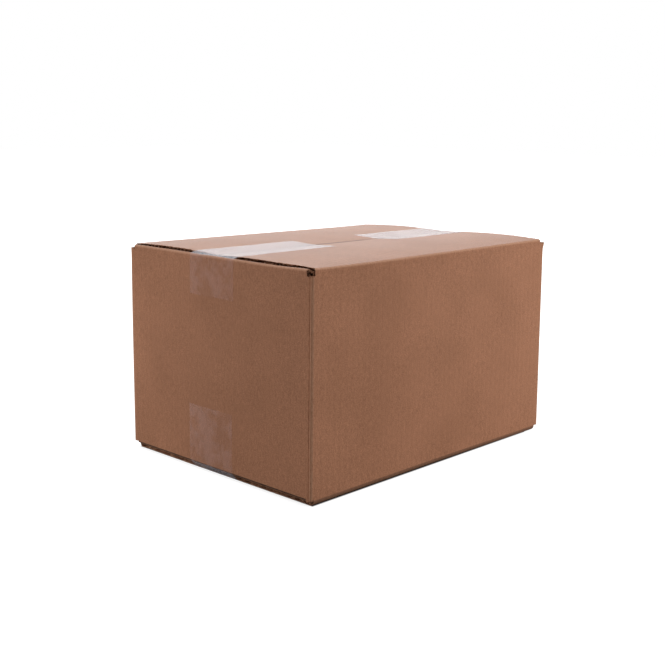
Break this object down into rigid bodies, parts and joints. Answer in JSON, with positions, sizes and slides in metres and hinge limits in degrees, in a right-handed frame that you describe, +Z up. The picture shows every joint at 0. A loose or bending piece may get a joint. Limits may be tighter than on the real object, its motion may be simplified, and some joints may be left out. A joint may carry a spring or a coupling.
{
  "type": "closed cardboard box",
  "caption": "Closed corrugated cardboard box with slotted corners, flaps meeting at a lengthwise seam, and clear tape over the seam and down both ends.",
  "frame": {"origin": "middle of the face the box rests on", "axes": "+X along the box, away from the end panel that carries the glued joint; +Y across it, away from the long panel the glue tab belongs to; +Z up"},
  "size_m": [0.2902, 0.206, 0.1735],
  "materials": {
    "kraft_board": "matt kraft paper over fluted board",
    "clear_tape": "clear glossy film"
  },
  "bodies": {
    "root": {"carton": "kraft_board", "tape_top_front": "clear_tape", "tape_top_rear": "clear_tape", "tape_bottom": "clear_tape"}
  },
  "joints": []
}
